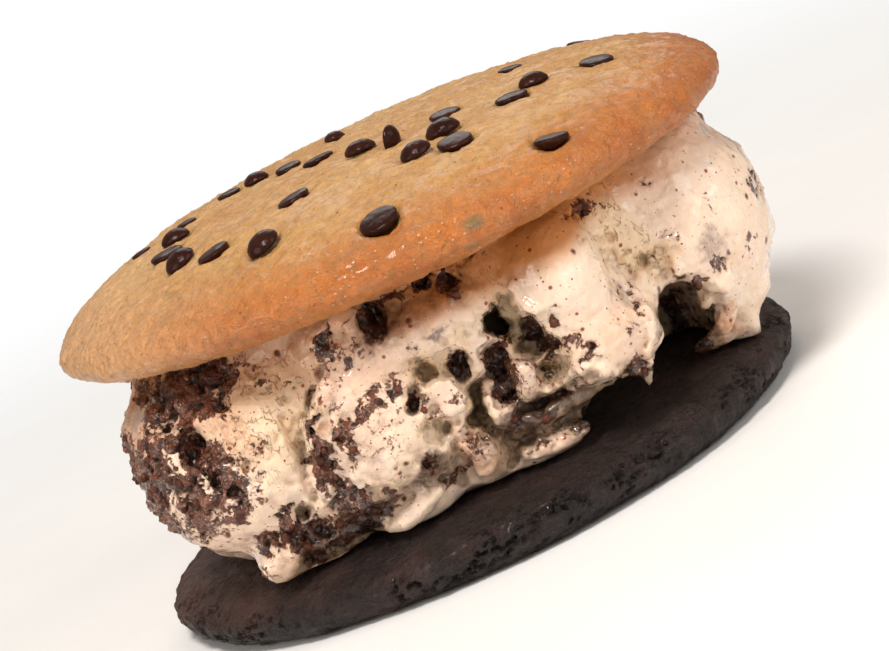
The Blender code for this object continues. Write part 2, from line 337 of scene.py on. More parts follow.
def golden_paint():
    paint = Paint("golden_dough", Specular_IOR_Level=0.5, Subsurface_Weight=0.1,
                  Subsurface_Scale=0.0008, Coat_Roughness=0.13)
    paint.shader.inputs["Subsurface Radius"].default_value = (1.0, 0.5, 0.25)
    rim = paint.mark("rim")
    bruise = paint.mark("bruise")
    painted_left_light = paint.mark("painted_left_light")
    cloud = paint.noise(9.0)
    mottle = paint.noise(2.6, 4.0, 0.6)
    fine = paint.noise(0.9, 5.0, 0.65)
    grain = paint.noise(0.26, 3.0, 0.7)
    centre = paint.mix(cloud.step(0.35, 0.7), (0.715, 0.4, 0.132), (0.62, 0.3, 0.078))
    edge = paint.mix(cloud.step(0.3, 0.7), (0.65, 0.198, 0.03), (0.515, 0.139, 0.022))
    # painted light: the left of the cookie, its edge and its middle, is painted paler as if more light fell
    # there
    edge = paint.mix(painted_left_light * 0.7, edge, (0.74, 0.33, 0.125))
    browned = (rim + (mottle - 0.5) * 0.55 + (fine - 0.5) * 0.3).held()
    dough = paint.layered(
        paint.mix(browned, centre, edge),
        (painted_left_light * 0.48, (0.95, 0.61, 0.32)),
        (mottle.step(0.5, 0.32) * 0.35, (0.5, 0.22, 0.075)),
        (fine.step(0.52, 0.34) * 0.45, (0.42, 0.175, 0.055)),
        (grain.step(0.58, 0.75) * (0.32 - rim * 0.18), (0.86, 0.56, 0.28)),
        (bruise * (0.3 + fine), (0.27, 0.18, 0.07)))
    for size, share, depth in ((1.9, 0.74, 0.8), (0.9, 0.86, 0.7)):
        shade, near = paint.cells(size)
        specks = near.step(0.13, 0.06) * shade.step(share, share + 0.03)
        dough = paint.mix(specks * depth, dough, (0.19, 0.075, 0.03))
    # sugar crystals near the rim, given coat and bumps, and also painted pale into the colour as painted
    # glints
    shade, near = paint.cells(0.6, paint.stretched(0.7, 0.7, 1.2))
    sugar_and_painted_glints = (near.step(0.3, 0.12) * shade.step(0.55, 0.63) * (0.1 + rim.step(0.15, 0.7))).held()
    sugar_and_painted_glints = (sugar_and_painted_glints * mottle.step(0.38, 0.6)).held()
    dough = paint.mix(sugar_and_painted_glints * (fine + 0.05), dough, (1.0, 0.77, 0.5))
    paint.set("Base Color", dough)
    oily = paint.noise(5.0).step(0.4, 0.62) * 0.25 + rim * 0.15
    paint.set("Coat Weight", (oily + sugar_and_painted_glints * 0.8).held())
    paint.set("Roughness", (0.52 - rim * 0.1 + (fine - 0.5) * 0.3).held())
    wrinkles = paint.noise(1.7, 6.0, 0.64, twist=0.8)
    pores = paint.cells(0.9)[1].step(0.06, 0.3)
    paint.relief((wrinkles, 0.9, 1.1), (fine, 0.75, 0.45), (grain, 0.7, 0.22), (pores, 0.5, 0.2),
                 (sugar_and_painted_glints, 0.8, 0.22))
    return paint


def dark_paint():
    paint = Paint("chocolate_dough", Specular_IOR_Level=0.42, Coat_Roughness=0.25)
    cloud = paint.noise(7.0)
    fine = paint.noise(0.8, 5.0, 0.65)
    grain = paint.noise(0.26, 3.0, 0.7)
    # painted light: the top of the left end is painted lighter, as if more light fell there
    dough = paint.layered(
        paint.mix(cloud.step(0.3, 0.7), (0.0118, 0.005, 0.0036), (0.0205, 0.0092, 0.007)),
        (paint.mark("painted_light_left_top"), (0.098, 0.045, 0.035)),
        (fine.step(0.55, 0.75) * 0.5, (0.042, 0.023, 0.018)),
        (fine.step(0.45, 0.3) * 0.7, (0.007, 0.004, 0.0033)))
    shade, near = paint.cells(0.7)
    sparkles = (near.step(0.2, 0.1) * shade.step(0.72, 0.8)).held()
    paint.set("Base Color", dough)
    paint.set("Coat Weight", (sparkles * 0.9 + paint.noise(3.0).step(0.5, 0.7) * 0.22).held())
    paint.set("Roughness", (0.5 + (fine - 0.5) * 0.35 - sparkles * 0.25).held())
    wrinkles = paint.noise(1.5, 6.0, 0.66, paint.stretched(0.45, 0.45, 1.5), 0.9)
    pores = paint.cells(0.8)[1].step(0.05, 0.28)
    paint.relief((wrinkles, 1.0, 1.4), (fine, 1.0, 0.55), (grain, 0.7, 0.18), (pores, 0.5, 0.18),
                 (sparkles, 1.0, 0.35))
    return paint


# Bruised spots of the golden cookie, laid out as the markings of the ice cream are.
BRUISES = [
    (12.1, 37.3, 1.3, 0.9, 1), (10.8, 34.8, 1.1, 0.35, 0.7, 15), (-24.6, 45.4, 1.2, 0.7, 0.35, 20),
]


def golden_cookie():
    piece = reskin(new_piece("golden_cookie", merged("top_cookie")), BAKED, 14)
    places, normals = read_points(piece.data)
    reach = np.hypot(*(places[:, :2] - golden_middle[:2]).T) / golden_reach
    swell = 0.26 * lump_noise(places, 7.0, seed=1.0) + 0.2 * lump_noise(places, 1.7, 4, 0.6, seed=2.0)
    swell -= 0.22 * (1.0 - rise(pebble_noise(places, 2.0, seed=24.0), 0.05, 0.28))
    places += normals * swell[:, None]
    marks = {
        "rim": rise(reach, 0.7, 1.0),
        # painted light, stronger towards the left end
        "painted_left_light": rise(-places[:, 0], 14.0, 42.0),
        "bruise": smear(on_sheet(places), BRUISES) * rise(-places[:, 1], 4.0, 12.0),
    }
    dress(piece, places, marks, golden_paint(), "top_cookie")


def dark_cookie():
    piece = reskin(new_piece("dark_cookie", merged("bottom_cookie")), BAKED, 8)
    places, normals = read_points(piece.data)
    swell = 0.22 * lump_noise(places, 6.0, seed=3.0) + 0.2 * lump_noise(places, 1.6, 4, 0.6, seed=4.0)
    swell -= 0.3 * (1.0 - rise(pebble_noise(places, 2.4, seed=26.0), 0.04, 0.24))
    # long level cracks round the side
    side = rise(np.hypot(places[:, 0], places[:, 1]), 40.0, 44.0) * rise(places[:, 2], 0.4, 1.6)
    open_here = rise(lump_noise(places, 9.0, 2, seed=25.0), -0.15, 0.15)
    lines = np.abs(lump_noise(places * (0.45, 0.45, 2.2), 3.4, 4, 0.55, seed=5.0))
    swell -= 1.2 * side * open_here * (1.0 - rise(lines, 0.0, 0.14))
    places += normals * (swell * rise(places[:, 2], 0.0, 0.6))[:, None]
    # painted light on the top of the left end, broken up by noise
    lit_left_top = rise(-places[:, 0], 16.0, 44.0) * rise(places[:, 2], 1.5, 6.0)
    painted_light_left_top = np.clip(lit_left_top + 0.4 * lump_noise(places, 9.0, seed=6.0), 0, 1)
    dress(piece, places, {"painted_light_left_top": painted_light_left_top}, dark_paint(), "bottom_cookie")


# ---------------- chocolate chips

def chip_paint():
    paint = Paint("chip_chocolate", Specular_IOR_Level=0.13)
    cloud = paint.noise(2.4)
    bloom = paint.noise(0.5, 4.0, 0.7)
    colour = paint.mix(cloud.step(0.3, 0.7), (0.022, 0.0054, 0.0032), (0.04, 0.0115, 0.0068))
    colour = paint.mix(bloom.step(0.62, 0.85) * 0.3, colour, (0.11, 0.045, 0.03))
    paint.set("Base Color", colour)
    paint.set("Roughness", (0.2 + (bloom - 0.4) * 0.3).held())
    streaks = paint.noise(0.8, 4.0, 0.6, paint.stretched(1.0, 0.35, 1.0), 0.5)
    paint.relief((streaks, 0.3, 0.16), (bloom, 0.15, 0.05))
    return paint


def press_flat(places, share):
    """Squash a chip along its thinnest direction."""
    middle = places.mean(axis=0)
    thin = np.linalg.eigh(np.cov((places - middle).T))[1][:, 0]
    height = (places - middle) @ thin
    return places - np.outer(height, thin) * (1.0 - share)


def chips():
    paint = chip_paint()
    for name in sorted(frame["nodes"]):
        if not name.startswith("chip_"):
            continue
        piece = new_piece(name.replace("chip_", "chocolate_chip_"), merged(name), paint)
        crease = piece.modifiers.new("rounded", "SUBSURF")
        crease.levels = 3
        crease.render_levels = 3
        settle(piece)
        places, normals = read_points(piece.data)
        swell = 0.04 + 0.05 * lump_noise(places, 1.6, seed=7.0)
        write_points(piece.data, press_flat(places + normals * swell[:, None], 0.8))
        hand_over(piece, name)


# ---------------- ice cream

cream_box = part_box("ice_cream")
CREAM_MIDDLE = Vector((3.3, -0.5, (cream_box[0].z + cream_box[1].z) / 2 / MM))


def smear(marks, smears, soft=0.4):
    """How strongly the smears cover each mark on the sheet."""
    cover = np.zeros(len(marks))
    for u, v, half_width, half_height, strength, *turned in smears:
        turn = radians(sum(turned))
        across = marks[:, 0] - u
        up = marks[:, 1] - v
        x = (across * cos(turn) - up * sin(turn)) / half_width
        y = (up * cos(turn) + across * sin(turn)) / half_height
        cover = np.maximum(cover, strength * (1.0 - rise(np.hypot(x, y), 1.0 - soft, 1.0 + soft)))
    return cover


# What the front is painted with: middle on the sheet, half width, half height, strength, and the
# turn in degrees where there is one.
CRUMB_SMEARS = [
    # the crumb-packed left shoulder
    (-33.6, 28.6, 5.6, 9.4, 0.92), (-27.5, 34.2, 6.4, 3.2, 0.95), (-31.6, 22, 4.4, 5.4, 0.95),
    (-26.6, 31.2, 2.2, 2.6, 0.8, 20), (-29.6, 26.6, 2.4, 3.4, 0.8), (-29.6, 18.6, 2.2, 2.4, 0.95),
    (-22.6, 34.6, 1.8, 1.3, 0.95), (-37.2, 26, 3, 9, 0.9), (-32.6, 19, 2.6, 2, 0.85, -20),
    (-26.2, 24, 2.2, 7.5, 0.4), (-34.4, 16.2, 0.5, 1, 0.65, 20),
    # spots on the scooped lump
    (-19.5, 30.6, 0.9, 0.55, 0.9), (-17, 29.1, 0.5, 0.5, 0.8), (-22.5, 32.7, 0.7, 0.5, 0.75, -20),
    (-23.9, 23.8, 2, 0.6, 0.5, 12), (-20, 33.4, 3, 1.6, 0.38), (-25.8, 18.6, 1.6, 1.4, 0.45, 25),
    # clusters at the foot of the left lump
    (-27.8, 12.6, 1.5, 1.4, 0.9), (-24.4, 12.2, 1.8, 2.2, 1), (-24.2, 15.3, 1.2, 1.4, 0.95),
    (-22, 11.8, 1.6, 1.4, 1, -15), (-18.4, 9.8, 4, 1.8, 0.95), (-22.4, 9.4, 2.6, 1.2, 0.9),
    (-31.2, 9.9, 2.6, 0.6, 0.8, 10), (-14, 10.6, 3.4, 1.6, 0.8), (-16.8, 13, 2, 1.6, 0.7),
    # round the fold
    (-13.4, 21, 1.7, 1.3, 0.9, -20), (-12.9, 24.6, 1.2, 0.5, 0.5), (-10.2, 21.8, 2.4, 0.8, 0.8, -25),
    (-13.6, 18.4, 1.2, 2.4, 0.55), (-10.6, 31.6, 1.2, 2, 0.8), (-9.2, 28.4, 1.2, 0.9, 0.7),
    (-12, 27, 4, 4, 0.22), (-7.4, 23.2, 0.8, 1.1, 0.85), (-5.4, 23.2, 0.6, 1, 1), (-5, 24.8, 1.6, 0.5, 0.5),
    (-9, 19.5, 3.4, 4.4, 0.3), (-8, 29.5, 3, 2.4, 0.4),
    # gaps below the golden cookie
    (-4.2, 31.8, 1.7, 2.4, 1), (-7.2, 32.6, 0.8, 0.7, 0.7), (3.2, 33.2, 1.4, 0.8, 1),
    (6.2, 31.6, 1.3, 1.1, 0.85), (-0.6, 33.6, 2.6, 0.8, 0.8), (-1.2, 27, 1.3, 0.7, 0.45),
    (9.4, 33.6, 3, 0.6, 0.5),
    # the torn middle
    (3, 22.4, 1.3, 1.9, 1, 10), (-3.8, 20.8, 1.3, 1.3, 0.85), (7.4, 20.6, 1.9, 2.5, 1),
    (12.9, 21.8, 1.5, 2.2, 0.85, -12), (13.6, 19.6, 1.3, 1, 0.9), (6.4, 16.6, 1.4, 1.6, 1),
    (7.2, 23.3, 1.3, 0.5, 0.55), (9.2, 17.6, 1.8, 2.4, 0.8), (0.6, 19, 0.9, 0.6, 1.1),
    (-1.6, 17.6, 1.6, 1, 0.35), (12.6, 16.8, 1.6, 1.4, 0.48), (10.2, 22.4, 1, 2.4, 0.4),
    # the right tongue
    (15.6, 22.2, 0.5, 1, 0.9, 15), (16.4, 18.8, 1, 1.2, 0.8, -20), (18, 17, 1.3, 1.2, 0.8),
    (17, 15.7, 1.6, 0.5, 0.6), (21.4, 24.9, 0.4, 0.4, 0.7), (25, 21.9, 0.9, 1.2, 0.55, -10),
    (25, 18.9, 0.5, 0.7, 0.8), (22.9, 12.6, 1.1, 1.1, 0.85), (20.6, 12, 2.6, 0.6, 0.7, -12),
    (23.4, 16.8, 0.9, 0.5, 0.5, 40),
    # the foot of the middle
    (-6, 12.8, 1.2, 0.7, 0.9), (-3, 10.4, 2.4, 0.8, 0.6, -10), (0.8, 12.6, 2.2, 2, 0.52),
    (10.4, 11.5, 1.6, 1.1, 0.75), (7.4, 9.2, 1.2, 0.8, 0.7), (12.6, 13.6, 2.4, 0.6, 0.6, 4),
    (16.6, 8.9, 4.6, 1.6, 0.85), (6, 12.8, 1.2, 1.2, 0.55), (11, 9.6, 2.4, 0.5, 0.5),
    # the right lump and its cave
    (24.6, 33.2, 1, 1.1, 1), (22.1, 33, 0.5, 0.4, 0.9, -30), (26.4, 32.7, 0.7, 0.4, 0.9),
    (32.6, 32.8, 0.7, 0.5, 0.65), (38.6, 26.6, 0.6, 1.4, 0.42), (33, 24.6, 0.8, 2.2, 0.3),
    (37, 19.4, 0.9, 1.2, 0.8), (41.3, 20.2, 0.5, 0.8, 0.9), (33.8, 18.7, 1.9, 0.5, 1, -8),
    (30.4, 17.4, 1.8, 2.6, 1, 20), (44.8, 26.3, 0.5, 1.8, 0.8), (30, 13, 2.6, 4.4, 0.8),
]
# The crumb-lined edge of the fold, with its half width and strength.
CRUMB_TRAILS = [
    (0.7, 0.45, [(-11.2, 29.8), (-13, 27.2), (-14.8, 25.2)]),
    (1.3, 0.8, [(-15.4, 24.6), (-16.6, 23.4), (-17.3, 21.4), (-17.9, 19.2), (-18.2, 17.4), (-18.9, 15.2)]),
    (1.5, 0.85, [(-17, 21.2), (-16.6, 18.6), (-17, 16.4), (-16.6, 14.4), (-14.8, 13)]),
]
# Crumbs sunk under a film of melted cream, which look grey.
SUNK_SMEARS = [
    (-27, 32.6, 3, 2, 0.3), (-36.2, 32, 1.2, 3, 0.4, 20), (-23.9, 23.8, 2, 0.9, 0.4, 15),
    (-16.7, 18, 1.8, 3.4, 0.6), (-15.5, 11.3, 4, 1.6, 0.7), (-12, 19, 1.6, 4, 0.35),
    (-3, 30.6, 5, 2.4, 0.8), (2.2, 27.1, 1, 1, 1.4), (-1.3, 26.7, 1.4, 0.9, 0.5),
    (-6.4, 12, 2.8, 1.5, 1.2, -15), (8.6, 12.3, 5.8, 2, 1.4), (14.4, 12.3, 2.4, 1.5, 1),
    (-2, 10.6, 3, 1.4, 0.6), (25, 20.4, 1.1, 2.3, 0.6, -10), (37, 22.2, 1.7, 1.7, 0.8),
    (24.4, 16.4, 1.4, 1, 0.4), (44.8, 26.3, 0.8, 2.4, 0.6), (15.6, 22.3, 0.9, 1.5, 0.4, 10),
    (9, 17.6, 1.8, 2.4, 0.42), (-28.6, 13.6, 3.4, 0.9, 0.4, 15), (16.6, 8.9, 5, 1.8, 0.9),
    (9, 8.9, 4.4, 0.9, 0.35), (6, 31.2, 3.4, 1.9, 0.9), (-20, 8.4, 6, 1.4, 0.4),
]
# Freshly torn cream, pale yellow and a little green, that the melt hasn't covered.
TORN_SMEARS = [
    (-20.8, 27.2, 6.4, 7.4, 0.8), (26.4, 29.4, 3, 4.4, 0.9), (28.4, 25.4, 3, 3.6, 0.95, -20),
    (31, 22.8, 1.8, 2, 0.8), (33, 15.6, 1.2, 1.8, 0.6), (-1.3, 23.8, 1.5, 2, 0.9),
    (0.9, 22.9, 1.2, 1.3, 0.9), (11.3, 25.4, 1.4, 3, 0.9), (2.4, 16.6, 1.3, 3, 0.9), (13, 17, 2, 1.6, 0.7),
    (12.2, 14.6, 2, 0.7, 0.4), (-5.4, 15.4, 2, 2.6, 0.25), (10.3, 21.2, 1, 2.2, 0.8),
    (-3.4, 16.2, 1.2, 1.8, 0.55), (4.6, 24.6, 1.2, 1.4, 0.6), (10.6, 30.4, 1.4, 1, 0.5),
    (-3.8, 29.6, 3, 0.9, 0.3), (-9, 13.4, 3.4, 2, 0.3),
]
# Cocoa that has bled into the cream, tan and orange brown.
STAIN_SMEARS = [
    (35.5, 14.1, 0.8, 0.8, 1.2), (34.5, 12.5, 1.5, 1.6, 1.1), (35.7, 11.1, 1.4, 0.7, 0.9),
    (32.2, 11.4, 2.8, 1.5, 1.1), (-14.7, 22.8, 1.2, 1.2, 0.9), (-14, 24.6, 3, 2.4, 0.45, 30),
    (-6.6, 25.4, 2.2, 0.8, 0.5, 10), (-25.4, 27, 2.6, 4, 0.5, -10), (0.6, 11.2, 3.2, 3.2, 0.85),
    (8.6, 12.4, 6, 2.4, 0.55), (9, 8.9, 5.4, 1.4, 0.45), (15.6, 16.4, 1.6, 1.4, 0.4),
    # the smear at -20.4, 8.6 is stain and painted shade on the low ledge under the overhanging crumbs
    (-9.6, 26.6, 7, 5.6, 0.38), (-20.4, 8.6, 6.4, 1.8, 0.85), (17.4, 17.8, 2.6, 1.8, 0.35),
    (-15.4, 11.4, 4.6, 2.2, 0.55), (-27.4, 9.4, 1.8, 1.6, 0.3), (22.6, 12.4, 2.6, 1.6, 0.5),
    (22.6, 17.4, 3.4, 2.8, 0.34), (-0.6, 30, 5.4, 2, 0.35), (-19, 33.6, 5.4, 1.8, 0.45),
    (39, 18.8, 1.4, 1.4, 0.3), (-32, 14.6, 3.6, 1.6, 0.3, 20),
]
# Where the melted cream is wettest.
WET_SMEARS = [
    (-5, 27, 6, 2.6, 1), (-11, 25.6, 2.6, 2.4, 1), (18, 26.6, 3.6, 2.4, 0.9), (4.6, 22.4, 1.6, 3.4, 0.9),
    (9.6, 17.8, 2.2, 3, 0.9), (25, 19.8, 2, 4, 0.9), (35.4, 16.4, 3.4, 4.4, 1), (9, 8.6, 6, 1.8, 0.9),
    (8.6, 12.2, 6.6, 1.8, 0.8), (-17, 12.2, 4, 3, 0.8), (-9, 8.4, 5, 2, 0.8), (22.6, 12, 3, 2, 0.8),
]
# Painted shade on low and overhung parts: over the dark cookie, in the cave and under the golden cookie.
PAINTED_SHADE_SMEARS = [
    (9.4, 12.2, 8, 2.4, 0.52), (-6, 12.2, 4.4, 1.6, 0.38, -10), (18, 9.6, 6, 2.6, 0.8),
    (-15.9, 8.8, 1.3, 1.6, 0.95), (-21.4, 8, 4.4, 1.3, 0.55), (-20.5, 8.4, 8, 2.2, 0.4),
    (-14.5, 11.6, 4, 1.8, 0.35), (2.6, 9.6, 5, 3.4, 0.22), (29.8, 14.6, 2.6, 4.6, 0.8),
    (-4, 31.6, 3.4, 2.4, 0.35), (31.4, 10.6, 2, 1.6, 0.45),
]
# Cream that shows through the crumb of the left shoulder.
BARE_SMEARS = [
    (-35.6, 34, 1.6, 2.6, 0.75, 15), (-33.4, 26.6, 0.6, 1.6, 0.8, -15), (-33.6, 31, 1.6, 1.4, 0.5),
    (-35.6, 22, 0.8, 2.6, 0.5, 10), (-32, 18.4, 1.6, 0.8, 0.45), (-26.4, 27.6, 0.8, 1.6, 0.5),
    (-31.6, 31.2, 0.6, 0.9, 0.7, 20), (-28.2, 29.1, 1.2, 1, 0.9), (-31.3, 22.6, 0.5, 1.7, 0.7, 12),
    (-29.7, 19.2, 0.8, 0.7, 0.7), (-37, 30.6, 0.6, 1.6, 0.6), (-25.4, 32.4, 0.7, 0.5, 0.5),
    (-32.6, 24, 0.5, 0.6, 0.6),
]

# Ropes of soft cream that stand out of the front: how far out, then sheet places with a radius.
ROPES = [
    (1, (-12.6, 27, 1.2), (-14.6, 25, 1.3), (-16.4, 23.4, 1.2), (-17, 21.2, 1.3), (-17.4, 19, 1.3),
     (-17.8, 17, 1.2), (-18.6, 15.4, 1.1)),
    (0.6, (-7.4, 33.6, 1.9), (-6.2, 32.4, 2)),
    (0.9, (3.1, 24.7, 0.5), (4.3, 24.1, 0.6), (4.9, 23, 0.6), (5.1, 22, 0.8), (4.9, 21.2, 1),
     (3.9, 20.5, 0.8), (2.8, 19.9, 0.7), (1.6, 19.6, 0.6)),
    (0.6, (1.4, 21, 0.6), (1.6, 19.4, 0.6), (1.9, 18, 0.55), (1.7, 17, 0.55), (0.6, 16.4, 0.6),
     (-0.4, 15.4, 0.6), (-1, 14, 0.7), (-1.2, 12.6, 0.6)),
    (0.5, (5.9, 23.5, 0.5), (7.4, 23.9, 0.5), (8.6, 23.4, 0.45), (9.4, 22.4, 0.4)),
    (0.6, (8.8, 19.2, 0.9), (9.9, 18, 1.3), (9.3, 16.2, 1.3), (8.8, 15, 1)),
    (0.7, (12.9, 28.2, 0.8), (12.9, 26.8, 0.95), (13.2, 25.4, 0.95), (14.2, 24.4, 0.8)),
    (0.4, (14.2, 23, 0.55), (14.6, 21.6, 0.6), (15.6, 20.2, 0.6)),
    (0.3, (11.4, 18.2, 0.5), (12.6, 18.6, 0.5), (13.8, 18.2, 0.6)),
    (0.2, (25.9, 20.8, 0.7), (26.1, 18.6, 0.8), (26.2, 16.8, 0.8), (25.6, 15.3, 0.8), (24.6, 14.2, 0.8)),
    (0.2, (23.8, 13.6, 0.9), (24.2, 12.7, 0.7), (23.4, 11.9, 0.9), (23.1, 10.9, 0.8), (22.9, 10.1, 0.6)),
    (0.3, (16.4, 14.6, 0.8), (18.4, 13.8, 0.8), (20.6, 12.4, 0.7), (22.4, 12, 0.7)),
    (0.4, (29, 24.8, 0.35), (28.8, 23.6, 0.4), (28.7, 22.5, 0.35)),
    (0.4, (26.6, 24.6, 0.5), (27.3, 23.2, 0.45), (27.1, 22, 0.5), (27.4, 21, 0.4)),
    (0.5, (30.6, 22.8, 0.5), (31, 22.5, 0.4)), (0.3, (32, 21.6, 0.9), (31.4, 20.6, 0.6)),
    (0.5, (34.8, 17.4, 1), (36.2, 16.9, 1.3), (37, 17.8, 1)),
    (0.6, (-29, 9.9, 0.7), (-28.8, 9, 0.6)),
    (0.8, (-27.4, 10, 1), (-27.2, 8.6, 1.1), (-26, 8.9, 0.9)),
    (0.5, (-20.8, 12.6, 0.35), (-19.6, 12.2, 0.35), (-18.4, 12.4, 0.35)),
    (0.9, (-13.4, 7.9, 0.9), (-11.4, 7.8, 1.4), (-8.8, 8.6, 1.6), (-6.4, 9.4, 1.1)),
    (0.7, (5.6, 8.4, 0.8), (8.6, 8, 1), (11.6, 8, 1), (13.4, 8.4, 0.9)),
    (0.4, (5.8, 12.4, 1.1), (8.6, 12.2, 1.2), (12.4, 12.2, 1.2), (15.4, 12.1, 1)),
    (0.6, (0, 12.6, 1.6), (1, 11, 2), (0.2, 9.6, 1.6)),
    (0.2, (-33.4, 27.6, 0.7), (-33.2, 26, 0.8)),
    (0.3, (-13.6, 31, 1.2), (-14.4, 32.6, 1.1)), (0.3, (-22.8, 12.8, 0.8), (-21.4, 13.2, 0.7)),
    (0.6, (-28.2, 13.4, 0.8), (-27.4, 12, 0.8)),
    (0.6, (-25.2, 11.4, 0.9), (-24.4, 13.2, 0.9), (-24, 15.2, 0.8)),
]
# Cream that hangs free in front of the hollow on the right and runs on to the dark cookie: how
# deep it lies, then sheet places with a radius.
HANGING = [
    (-19, (38.6, 14.4, 2.2), (36.8, 12.7, 2.1), (35, 11.8, 1.8), (33.4, 11.3, 1.5), (31.4, 11, 1.1),
     (30, 10.8, 0.8)),
    (-24, (36.6, 18.4, 1.8), (34.6, 18, 1.5), (33.6, 16.8, 1.3), (32.8, 15.6, 0.8)),
    (-23, (36, 16.6, 1.8), (35.4, 14.6, 1.5), (34.4, 12.8, 1.3), (33.8, 11.8, 1)),
]
# Torn flakes, as outlines on the sheet, with how far they stand out and how thick they are.
FLAKES = [
    (1.8, 2.4, [(3.4, 17), (4.4, 18), (4.7, 17.1), (5.3, 16.8), (4.8, 16.1), (4, 15.9)]),
    (2, 2.6, [(3.4, 15.4), (6, 15.3), (7.4, 14.9), (6, 13.5), (4.5, 12.4), (4.1, 13.1), (3.5, 13)]),
    (1, 2, [(-3.4, 21.4), (-1.4, 21.6), (0.2, 21.8), (0.6, 21), (-1.2, 20.2), (-2.6, 20.2)]),
    (1.3, 2.2, [(-1.6, 20.6), (1.2, 21.5), (1.9, 18.8), (1.2, 17), (-0.6, 16.6), (-1.8, 18.6)]),
    (0.5, 1.6, [(26.8, 23.4), (28, 23), (28.3, 21.4), (27.4, 20.4), (26.8, 21)]),
    (1.4, 2.4, [(10.4, 15), (12, 15.3), (13.8, 14.9), (12.8, 14.1), (11, 14)]),
]
# Strands of melted skin left whole between the tears, each with a half width.
STRANDS = [
    (0.9, [(3.4, 26.6), (4.2, 25), (4.7, 23.2), (5.1, 21.6), (4.8, 20.7), (3.6, 20), (1.9, 19.5)]),
    (0.8, [(1.4, 21), (1.7, 19.4), (1.9, 18), (1.7, 17), (0.4, 16.2)]),
    (0.9, [(5.6, 23.2), (7.2, 23.8), (8.2, 23.2)]), (0.5, [(0.2, 24.4), (0.4, 23.4), (0.5, 22)]),
    (1.1, [(12.9, 28), (12.9, 26.6), (13.4, 25.2), (14.6, 24.2)]), (0.8, [(14.2, 23), (15.2, 20.6)]),
    (2.4, [(9.6, 18.8), (9.6, 16.4)]), (0.8, [(9.6, 21.4), (9.2, 20), (8.8, 18.8)]),
]
# Openings torn through the melted skin, as outlines on the sheet, with their depth.
OPENINGS = [
    (2.8, [(-2.5, 23.2), (-1.9, 25.3), (-1, 25.4), (-0.7, 24.3), (0.1, 23.6), (-0.6, 22.3), (-2, 22)]),
    (1.6, [(0.2, 24.3), (1.2, 24.7), (2.4, 24.2), (1.6, 21.8), (0.3, 21.9)]),
    (3.4, [(1.5, 22.4), (2.5, 24.1), (4.1, 24.2), (4.2, 23), (3.4, 21.5), (2.7, 20.3), (1.8, 20.4)]),
    (3, [(-3.9, 22), (-3.1, 22.6), (-2.6, 21), (-2.2, 20.2), (-3.4, 20), (-4.9, 19.2),
           (-4.9, 20.4)]),
    (8, [(7.7, 24.6), (8.3, 25.9), (8.8, 26.9), (9.9, 27), (10.1, 25.4), (9.9, 23.4), (9, 22.9),
           (8.5, 23.9)]),
    (3, [(5.6, 22.6), (7.2, 23), (8.4, 23.1), (9, 22.2), (8.3, 20.4), (8.4, 18.6), (7.4, 17.9),
           (6, 18.4), (5.2, 19.8), (6, 21)]),
    (2.6, [(10.6, 27.6), (12, 28.2), (12.7, 27), (12.2, 25.2), (12, 22), (11.6, 20), (10.2, 20.4),
           (9.9, 22.6), (10.3, 24.6)]),
    (2.8, [(11.8, 24.2), (13.6, 24), (13.5, 22.4), (13.9, 21.2), (15.1, 20.2), (15, 18.9), (12.4, 19),
           (11, 18.8), (10.4, 19.8), (11.6, 21.6)]),
    (4.2, [(1.9, 18.9), (3.4, 19.5), (4.8, 19.6), (4.4, 18.4), (3.2, 17.2), (3.3, 14.4), (4.2, 12.8),
           (3, 12.4), (2.2, 14.4), (0.2, 15.2), (0.6, 16), (2, 16.8)]),
    (2.4, [(11.2, 18), (13, 18.3), (15, 18.4), (15.3, 17), (14.6, 15.4), (12.4, 15.4),
           (11.2, 16)]),
    (2.8, [(5.3, 17.9), (6.4, 18.2), (7.7, 17.6), (7.6, 15.8), (6.8, 15.2), (5.5, 15.6), (5, 16.8)]),
    (1.8, [(-3.4, 17.6), (-2, 17.4), (-1.6, 15.6), (-2.2, 13.8), (-3.6, 14.6), (-5, 16)]),
]
# Grooves between the lumps, each a depth and a half width with the sheet places it runs through.
GROOVES = [
    (3, 1, [(5.6, 14), (8.4, 13.9), (10.4, 13.6), (13, 13.9), (15.4, 14.4), (17.4, 13.6)]),
    (2.6, 0.9, [(4.6, 10.4), (8, 10.5), (11, 10.3), (15, 10.4)]),
    (3.4, 1, [(4.4, 12.8), (4.4, 11.2), (4.2, 9.4), (3.4, 8.2)]),
    (2.2, 0.8, [(-2, 14.4), (-1.9, 12.4), (-2.6, 10.6), (-3, 8.6)]),
    (2.6, 0.9, [(-14.8, 10.6), (-11.4, 10.8), (-8.4, 11), (-6, 10.7), (-3.8, 10)]),
    (2.4, 0.6, [(-12, 30.4), (-13.8, 27.6), (-15.6, 26), (-17.6, 24.4), (-18.6, 22.4), (-18.9, 20.2),
                (-19.6, 18.4), (-19.8, 16.4), (-20.2, 14.8)]),
    (1.6, 0.6, [(24.4, 29), (24.6, 26), (25.2, 23.6)]),
    (3.2, 1.4, [(-24, 8.4), (-20.4, 7.8), (-16, 8.2)]),
    (0.9, 0.5, [(26.2, 25.4), (26.4, 21.8)]), (1, 0.5, [(27.3, 25), (27.6, 21.6)]),
    (1, 0.5, [(28.5, 25.2), (28.8, 21.4)]), (0.9, 0.5, [(29.8, 24.4), (30, 21.6)]),
    (0.8, 0.5, [(31, 24), (31.2, 21.8)]),
]
